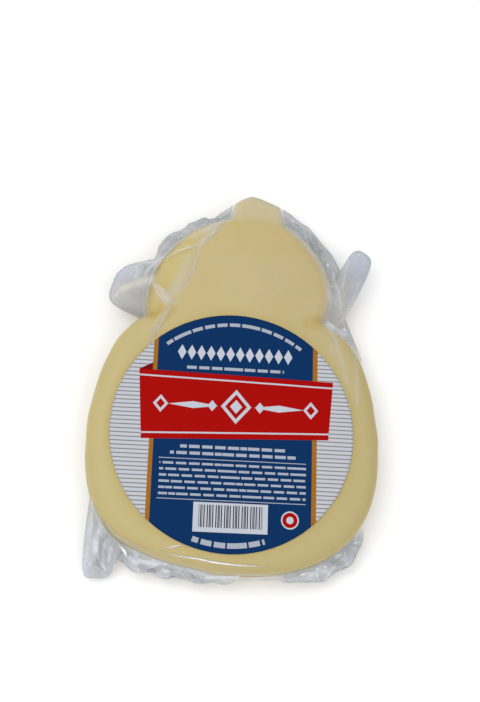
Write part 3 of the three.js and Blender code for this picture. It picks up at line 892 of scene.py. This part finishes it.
def makeFilm():
    look, hollow = filmLook, slab["filmHollow"]
    angle, rim, run = filmColumns(look["columns"])
    root = pearPoint(angle, 0)
    free = np.hypot(rim[:, 0] - root[0], rim[:, 1] - root[1])
    web = np.max([bumpAround(angle, place) for place in look["webs"]], axis=0)

    # face and rounded edge; a web leaves the edge early and runs straight to the rim
    face, (edgeX, edgeY, hug), inset = frontRows(angle, 0, hollow, look)
    width = edgeWidth(angle)
    lift = np.minimum(look["liftInset"], width)
    liftZ = frontHeight(*pearPoint(angle, lift), hollow) + slab["filmGap"] - edgeFall(lift, width)
    line = liftZ + (lift - inset) / (lift + free) * (rim[:, 2] - liftZ)
    edgeZ = hug + web * np.maximum(line - hug, 0) * (inset < lift)

    # wall down to the seam, none where a web bridges it
    share, top = steps(look["wallRows"]), edgeZ[-1]
    seamTop = look["seamHeight"] + look["seamHalf"]
    rootTop = np.minimum(top * web + seamTop * (1 - web), top - look["wallLeast"])
    wall = (root[0] + 0 * share, root[1] + 0 * share, top + (rootTop - top) * share)

    # skirt, then the back under it
    over, under = skirtRows(angle, rim, run, free, root, rootTop)
    front = [np.vstack(parts) for parts in zip(face, (edgeX, edgeY, edgeZ), wall, over)]
    x, y, z = (np.vstack(parts) for parts in zip(front, under, backRows(angle, 0, look)))
    values = filmShades(angle, free, web, inset, front, x, y)
    middleZ = float(frontHeight(middleX, middleY, hollow)) + slab["filmGap"]
    poles = [(middleX, middleY, middleZ), (middleX, middleY, 0)]
    return addPiece("film", [closedGrid(x, y, z, poles, values)], filmMaterial()), front


film, filmFront = makeFilm()
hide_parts("sealed_bag")


# folds of doubled film, painted highlight lines and painted glints: flat beads carried along paths on the
# film

foldLook = {
    "steps": 40, "sparkSteps": 8, "above": 9, "below": 3, "lift": 0.03, "height": 0.12, "endShare": 0.02,
    "nearReach": 5.0, "nearSoft": 0.05, "innerBand": 2.0,  # film points that a fold's height comes from
    "tint": (0.97, 0.97, 0.97, 1), "milkAndHighlight": (0.84, 0.85, 0.87, 1), "cream": (0.68, 0.6, 0.42, 1),
    "streakNoise": (300.0, 2.0), "streakSpan": (0.3, 0.7, 0.75, 1.15),
    "sparkLift": 0.22, "sparkTaper": 0.5,
    "folds": rows(
        "width haze cream path",
        # down the left of the head: from the knob, where it splits, to the label
        ((1.2, 2.0), 0.4, 0.7, ((-5.4, 95.8), (-10.5, 89.3), (-13.2, 86.4), (-16.2, 83.9))),
        ((1.2, 0.9), 0.5, 0.4, ((-17.2, 83.5), (-19.9, 82.3), (-23.4, 80.9), (-27.4, 79.3), (-31.0, 76.8))),
        ((0.8, 0.7), 0.4, 0.7, ((-19.7, 81.2), (-19.9, 79.1), (-19.2, 76.4))),
        ((0.9, 1.2), 0.45, 0.8, ((-16.6, 82.4), (-17.4, 80.3), (-18.2, 74.9), (-19.1, 71.3), (-21.8, 65.8),
                                 (-24.9, 61.0), (-26.0, 58.9))),
        ((2.0, 2.8), 0.4, 0.8, ((-26.3, 58.4), (-27.9, 54.9), (-29.9, 50.2), (-32.3, 45.2), (-34.9, 40.0),
                                (-37.0, 36.6))),
        # edges of the web from the ear to the fold
        ((0.7, 0.8), 0.3, 0, ((-35.8, 64.2), (-32.4, 61.4), (-28.9, 59.0))),
        ((0.7, 0.8), 0.32, 0, ((-36.2, 63.2), (-33.2, 58.8), (-30.9, 54.8))),
        # corner of the neck on the right
        ((1.4, 1.6), 0.5, 0, ((37.6, 51.6), (41.2, 49.4), (46.4, 48.2), (49.4, 48.4))),
        # lower edge of the front: painted highlight lines along the film's bend
        ((1.0, 1.0), 1.0, 0, ((-27.9, -50.4), (-19.9, -52.4), (-11.1, -53.0), (-6.9, -54.2), (4.0, -54.9),
                              (11.2, -55.0), (18.1, -54.8))),
        ((0.9, 0.8), 0.8, 0, ((-26.8, -49.6), (-22.4, -48.7), (-17.8, -47.5))),
        ((0.9, 0.9), 0.5, 0.3, ((-54.6, -32.4), (-51.5, -38.3), (-48.6, -41.6), (-43.7, -45.7),
                                (-38.2, -48.2), (-32.7, -49.9), (-28.8, -50.5))),
        # painted glints: hook near the left ear's tip, lens beside the lower ear
        ((0.7, 0.6), 1.0, 0, ((-53.7, 58.8), (-52.1, 59.4), (-51.1, 60.3), (-52.0, 61.9))),
        ((1.3, 2.3), 1.0, 0, ((-44.8, -47.4), (-43.0, -48.7), (-41.4, -50.4), (-40.6, -53.0))),
    ),
    # painted glints: small white beads for the film's bright reflections
    "sparkles": rows(              # bright glints of the film
        "at alongDeg length width",
        ((-15.0, 96.0), 20, 0.9, 1.2), ((-12.5, 96.7), 60, 0.9, 1.2), ((-14.4, 94.0), 90, 1.0, 1.2),
        ((-26.1, 87.8), 30, 1.5, 1.2), ((-24.6, 88.9), 40, 1.2, 1.2), ((24.6, 99.3), -45, 2.0, 1.2),
        ((40.8, 80.2), 105, 2.8, 1.6), ((42.3, 68.9), 50, 2.2, 1.2), ((54.6, 85.1), 80, 1.3, 1.2),
        ((48.2, 49.6), 125, 2.8, 2.0), ((31.7, -56.4), 26, 3.2, 1.2), ((37.6, -53.9), 38, 2.6, 1.2),
        ((41.0, -52.9), 21, 2.5, 1.2), ((37.9, -56.5), 38, 1.6, 1.2),
    ),
}


def smoothPath(points, count):
    # even steps along the chords, rounded by averaging neighbours with both ends held
    points = np.array(points, dtype=float)
    run = np.concatenate([[0], np.cumsum(np.hypot(*np.diff(points, axis=0).T))])
    wanted = np.linspace(0, run[-1], count)
    path = np.stack([np.interp(wanted, run, points[:, axis]) for axis in (0, 1)], axis=-1)
    for turn in range(count // 4):
        path[1:-1] = (path[:-2] + 2 * path[1:-1] + path[2:]) / 4
    return path


def onFilm(x, y):
    # height of the film's upper side: mean of its near points, each weighted by 1 / distance^6,
    # and the face's own formula away from its edge
    look, inside = foldLook, filmLook["liftInset"]
    frontX, frontY, frontZ = (part.reshape(-1) for part in filmFront)
    near = np.abs(frontX - x.mean()) < np.ptp(x) / 2 + look["nearReach"]
    near = near & (np.abs(frontY - y.mean()) < np.ptp(y) / 2 + look["nearReach"])
    away = (x.reshape(-1, 1) - frontX[near]) ** 2 + (y.reshape(-1, 1) - frontY[near]) ** 2
    weight = 1 / (away + look["nearSoft"]) ** 3
    height = ((weight @ frontZ[near]) / weight.sum(axis=1)).reshape(x.shape)
    inner = ramp(insetAt(x, y), inside, inside + look["innerBand"])
    return height + (filmHeight(x, y) - height) * inner


def foldGrid(path, widths, haze, cream, lift):
    # flat lens across the path, tapering to both ends
    look = foldLook
    run = np.gradient(path, axis=0)
    run = run / np.hypot(run[:, :1], run[:, 1:])
    across = np.concatenate([np.linspace(-1, 1, look["above"]), np.linspace(1, -1, look["below"] + 2)[1:-1]])
    upper = np.arange(len(across)) < look["above"]
    share = np.linspace(look["endShare"], 1 - look["endShare"], len(path))
    taper = np.sqrt(np.sin(math.pi * share))[:, None]
    offset = across * taper * np.linspace(*widths, len(path))[:, None] / 2
    x, y = path[:, :1] - run[:, 1:] * offset, path[:, 1:] + run[:, :1] * offset
    bulge = 1 - across ** 2
    z = onFilm(x, y) + lift + upper * bulge * taper * look["height"]
    poles = np.column_stack([path[[0, -1]], z[[0, -1]].mean(axis=1)])
    return closedGrid(x, y, z, poles, {"haze": haze * upper * bulge ** 1.5 * taper ** 2, "cream": cream})


def sparklePath(sparkle):
    # short straight run through its place
    heading = math.radians(sparkle["alongDeg"])
    step = np.linspace(-0.5, 0.5, foldLook["sparkSteps"])[:, None] * sparkle["length"]
    return np.array(sparkle["at"]) + step * np.array([math.cos(heading), math.sin(heading)])


def foldAndGlintMaterial():
    look = foldLook
    material, tree = newTree("film_fold")
    clear = addNode(tree, "BsdfTransparent", {"Color": look["tint"]})[0]
    colour = mixColour(tree, attribute(tree, "cream"), look["milkAndHighlight"], look["cream"])
    milkAndHighlight = addNode(tree, "BsdfDiffuse", {"Color": colour})[0]
    streaks = rangeOf(tree, noise(tree, objectPoint(tree), *look["streakNoise"]), *look["streakSpan"])
    # haze: milk of the doubled film, and painted highlight on the glints and the lower edge lines
    haze = maths(tree, "MULTIPLY", attribute(tree, "haze"), streaks)
    addNode(tree, "OutputMaterial", {"Surface": mixShader(tree, haze, clear, milkAndHighlight)})
    return material


def foldGrids():
    look, grids = foldLook, []
    for fold in look["folds"]:
        path = smoothPath(fold["path"], look["steps"])
        grids.append(foldGrid(path, fold["width"], fold["haze"], fold["cream"], look["lift"]))
    # painted glints: beads of full haze
    for sparkle in look["sparkles"]:
        widths = (sparkle["width"], look["sparkTaper"] * sparkle["width"])
        grids.append(foldGrid(sparklePath(sparkle), widths, 1.0, 0, look["sparkLift"]))
    return grids


# folds and painted glints in one piece
filmFoldsAndGlints = addPiece("film_folds_and_glints", foldGrids(), foldAndGlintMaterial())
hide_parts("sealed_bag")


# label: a paper disc with plain fields of colour, rules and lozenges, in millimetres from its middle

labelLook = {
    "columns": 240, "rows": 40, "lift": 0.12, "thickness": 0.16,
    "white": (0.465, 0.49, 0.55, 1), "pinstripe": (0.22, 0.20, 0.17, 1), "blue": (0.0025, 0.026, 0.098, 1),
    "gold": (0.31, 0.125, 0.012, 1), "red": (0.33, 0.002, 0.0012, 1), "darkRed": (0.14, 0.002, 0.003, 1),
    "ink": (0.004, 0.004, 0.006, 1), "pale": (0.34, 0.37, 0.43, 1),
    "roughness": 0.45, "specular": 0.03, "grainNoise": (1400.0, 2.0), "grainBump": (0.08, 0.0002),
    "pitch": 1.75, "lineSpan": (0.1, 0.17, 1.0, 0.0), "goldSpan": (-34.3, 35.4), "blueSpan": (-32.5, 33.4),
    # edges of the band, each a start and a slope, its folded corner, rules and row of lozenges
    "bandTop": (24.07, -0.0207), "bandLow": (-3.46, 0.0385),
    "bandLeft": (-38.07, -0.0736), "bandRight": (40.35, 0.0754),
    "cornerSpan": (-39.9, -34.3), "cornerLine": (46.65, 0.545),
    "ruleSpan": (2.2, 2.9), "bandMiddle": (1.2, 10.4),
    "ornament": (
        (0.0, 6.4, 7.4, "white"), (0.0, 4.6, 5.3, "red"), (0.0, 2.6, 3.0, "white"),
        (18.0, 10.5, 1.5, "white"), (10.0, 2.0, 2.4, "white"), (31.5, 3.2, 3.8, "white"),
        (31.5, 1.8, 2.1, "red"),
    ),
    "headSpan": (-24.4, 24.8), "headPitch": 4.1, "headHeight": 33.3, "headHalf": (0.44, 3.3),
    # broken lines as box and phase, and the printed block between two thin rules
    "dashLines": (((-20, 21, 26.0, 27.3), 3.0), ((-21.4, 22.6, -8.0, -6.7), 1.0),
                  ((-25.4, 26.6, -10.8, -9.5), 5.0)),
    "printBox": (-29.5, 31.0, -28.6, -13.3), "printPitch": 2.55, "printLine": (0.32, 0.7),
    "thinRules": ((-30.0, 31.0, -12.7, -12.38), (-30.0, 31.0, -29.5, -29.18)),
    "dashWaves": ((1.7, 1.25), (2.9, 2.3)), "dashCut": -1.15,
    "blockBox": (-14.9, 15.6, -42.3, -30.2), "barBox": (-12.6, 13.4, -40.4, -31.2),
    "barWaves": (5.3, 8.9), "barCut": 0.1,
    "targetMiddle": (24.7, -36.1), "targetRings": ((3.7, "white"), (3.1, "red"), (1.5, "white")),
    "arcReach": 46.5, "arcs": (((45.7, 47.2), (0.92, 2.24), 2.0), ((46.4, 48.6), (-1.89, -1.26), 6.0)),
}


def labelMaterial():
    look = labelLook
    material, tree = newTree("label_paper")
    calc, point = partial(maths, tree), objectPoint(tree)
    places = splitPoint(tree, point)
    side, height = (calc("MULTIPLY", places[axis], 1 / mm) for axis in "XY")

    def both(*masks):
        total = masks[0]
        for mask in masks[1:]:
            total = calc("MULTIPLY", total, mask)
        return total

    def within(value, low, high):
        return both(calc("GREATER_THAN", value, low), calc("LESS_THAN", value, high))

    def box(left, right, low, high):
        return both(within(side, left, right), within(height, low, high))

    def past(value, other, edge):
        # how far a value is past a slanting edge: value - (start + slope * other)
        start, slope = look[edge]
        return calc("SUBTRACT", value, calc("MULTIPLY_ADD", other, slope, start))

    def awayFrom(middle):
        # squared distance from a point
        du, dv = (calc("SUBTRACT", value, place) for value, place in zip((side, height), middle))
        return calc("ADD", calc("MULTIPLY", du, du), calc("MULTIPLY", dv, dv))

    def apart(value, middle, half):
        return calc("DIVIDE", calc("ABSOLUTE", calc("SUBTRACT", value, middle)), half)

    def lozenge(across, middle, half, up, rise):
        return calc("LESS_THAN", calc("ADD", apart(across, middle, half), apart(height, up, rise)), 1.0)

    def broken(run, row):
        # dashes of uneven length: two waves added and cut off
        first, second = (calc("SINE", calc("MULTIPLY_ADD", row, shift, calc("MULTIPLY", run, length)))
                         for shift, length in look["dashWaves"])
        return calc("GREATER_THAN", calc("ADD", first, second), look["dashCut"])

    # red band with slightly flared ends and a dark folded corner, over the blue panel between gold stripes
    bandTop, bandLow = (past(height, side, edge) for edge in ("bandTop", "bandLow"))
    bandLeft, bandRight = (past(side, height, edge) for edge in ("bandLeft", "bandRight"))
    inBand = both(calc("LESS_THAN", bandTop, 0.0), calc("GREATER_THAN", bandLow, 0.0),
                  calc("GREATER_THAN", bandLeft, 0.0), calc("LESS_THAN", bandRight, 0.0))
    corner = both(within(side, *look["cornerSpan"]), calc("GREATER_THAN", bandTop, 0.0),
                  calc("LESS_THAN", past(height, side, "cornerLine"), 0.0))
    layers = [(within(side, *look["goldSpan"]), "gold"), (within(side, *look["blueSpan"]), "blue"),
              (corner, "darkRed"), (inBand, "red")]

    # ornament of the band: rules along it, a large lozenge between long thin ones
    near, far = look["ruleSpan"]
    layers += [(both(inBand, within(bandTop, -far, -near)), "white"),
               (both(inBand, within(bandLow, near, far)), "white")]
    bandSide, bandHeight = look["bandMiddle"]
    sides = calc("ABSOLUTE", calc("SUBTRACT", side, bandSide))
    layers += [(lozenge(sides, at, half, bandHeight, rise), ink) for at, half, rise, ink in look["ornament"]]

    # heading: a row of lozenges; then broken lines, rows of dashes and thin rules
    start = look["headSpan"][0]
    cell = calc("FRACT", calc("DIVIDE", calc("SUBTRACT", side, start), look["headPitch"]))
    halfCell, halfRise = look["headHalf"]
    heading = lozenge(cell, 0.5, halfCell, look["headHeight"], halfRise)
    layers += [(both(heading, within(side, *look["headSpan"])), "white")]
    layers += [(both(box(*place), broken(side, phase)), "pale") for place, phase in look["dashLines"]]
    printRow = calc("DIVIDE", calc("SUBTRACT", height, look["printBox"][2]), look["printPitch"])
    inLine = within(calc("FRACT", printRow), *look["printLine"])
    layers += [(both(box(*look["printBox"]), inLine, broken(side, calc("FLOOR", printRow))), "pale")]
    layers += [(box(*place), "pale") for place in look["thinRules"]]

    # white block with plain bars, a small target beside it, broken arcs at top and bottom
    waves = calc("ADD", *(calc("SINE", calc("MULTIPLY", side, length)) for length in look["barWaves"]))
    bars = both(box(*look["barBox"]), calc("GREATER_THAN", waves, look["barCut"]))
    layers += [(box(*look["blockBox"]), "white"), (bars, "ink")]
    fromTarget = awayFrom(look["targetMiddle"])
    layers += [(calc("LESS_THAN", fromTarget, radius ** 2), ink) for radius, ink in look["targetRings"]]
    reach, turn = calc("SQRT", awayFrom((0.0, 0.0))), calc("ARCTAN2", height, side)
    arc = calc("MULTIPLY", turn, look["arcReach"])
    layers += [(both(within(reach, *span), within(turn, *turns), broken(arc, phase)), "pale")
               for span, turns, phase in look["arcs"]]

    # white ground with fine lines, then each layer of print over the last
    lines = apart(calc("FRACT", calc("DIVIDE", height, look["pitch"])), 0.5, 1.0)
    colour = mixColour(tree, rangeOf(tree, lines, *look["lineSpan"]), look["white"], look["pinstripe"])
    for mask, ink in layers:
        colour = mixColour(tree, mask, colour, look[ink])
    grain = bump(tree, noise(tree, point, *look["grainNoise"]), *look["grainBump"])
    shader = addNode(tree, "BsdfPrincipled", {
        "Base Color": colour, "Roughness": look["roughness"], "Specular IOR Level": look["specular"],
        "Normal": grain,
    })
    addNode(tree, "OutputMaterial", {"Surface": shader[0]})
    return material


def makeLabel():
    # disc of paper that follows the film: an upper side out to its edge and an under side back
    look, up = labelLook, slice(None, None, -1)
    angle = np.arange(look["columns"]) * 2 * math.pi / look["columns"]
    reach = labelRadius * steps(look["rows"])
    x, y = reach * np.cos(angle), reach * np.sin(angle)
    base = filmHeight(x, y) + look["lift"]
    middle = float(filmHeight(0.0, 0.0)) + look["lift"]
    z = np.vstack([base + look["thickness"], base[up]])
    poles = [(0, 0, middle + look["thickness"]), (0, 0, middle)]
    grid = closedGrid(np.vstack([x, x[up]]), np.vstack([y, y[up]]), z, poles, {})
    return addPiece("label", [grid], labelMaterial())


label = makeLabel()
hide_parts("label")


# stage: pale floor, soft light and camera, in metres

stageLook = {
    "floorSize": 4.0, "floorDrop": 0.0002, "floorColour": (0.96, 0.96, 0.96, 1),
    "worldColour": (1, 1, 1, 1), "worldStrength": 0.85,
    "lights": rows(
        "name place aim size power",
        ("key", (-0.48, 0.16, 0.93), (0, 0.02, 0), (0.8, 0.8), 3.7),
        ("fill", (0.35, -0.5, 0.65), (0, 0.0, 0), (0.7, 0.7), 1.1),
    ),
    # camera in millimetres from the middle of the label's face
    "cameraPlace": (-35.6, -114.2, 467.7), "cameraRight": (0.9955, 0.0303, 0.0898),
    "cameraUp": (-0.056, 0.9526, 0.299),
    "focalPixels": 1161.9, "imageHeight": 702, "sensor": 36.0, "clipStart": 0.01,
}


def makeFloor():
    half = stageLook["floorSize"] / 2
    mesh = bpy.data.meshes.new("floor")
    corners = [(-half, -half, 0), (half, -half, 0), (half, half, 0), (-half, half, 0)]
    mesh.from_pydata(corners, [], [(0, 1, 2, 3)])
    material, tree = newTree("floor")
    shader = addNode(tree, "BsdfDiffuse", {"Color": stageLook["floorColour"]})
    addNode(tree, "OutputMaterial", {"Surface": shader[0]})
    mesh.materials.append(material)
    floor = addObject("floor", mesh)
    floor.location.z = -stageLook["floorDrop"]


def addLight(row):
    lamp = bpy.data.lights.new(row["name"], "AREA")
    lamp.shape = "RECTANGLE"
    lamp.size, lamp.size_y = row["size"]
    lamp.energy = row["power"]
    light = addObject(row["name"], lamp)
    light.location = row["place"]
    light.rotation_euler = (Vector(row["aim"]) - Vector(row["place"])).to_track_quat("-Z", "Y").to_euler()


def makeWorld():
    world = bpy.data.worlds.new("studio")
    world.use_nodes = True
    background = world.node_tree.nodes["Background"]
    background.inputs["Color"].default_value = stageLook["worldColour"]
    background.inputs["Strength"].default_value = stageLook["worldStrength"]
    bpy.context.scene.world = world


def makeCamera():
    look = stageLook
    lens = bpy.data.cameras.new("camera")
    lens.sensor_fit = "VERTICAL"
    lens.sensor_height = look["sensor"]
    lens.lens = look["sensor"] * look["focalPixels"] / look["imageHeight"]
    lens.clip_start = look["clipStart"]
    camera = addObject("camera", lens)
    right, up = Vector(look["cameraRight"]).normalized(), Vector(look["cameraUp"]).normalized()
    turn = Matrix((right, up, right.cross(up))).transposed().to_4x4()
    place = Vector(look["cameraPlace"]) * mm + Vector((0, 0, labelHigh.z))
    camera.matrix_world = Matrix.Translation(place) @ turn
    bpy.context.scene.camera = camera


makeFloor()
makeWorld()
for light in stageLook["lights"]:
    addLight(light)
makeCamera()
bpy.context.scene.view_settings.view_transform = "Standard"
print("stage ready")
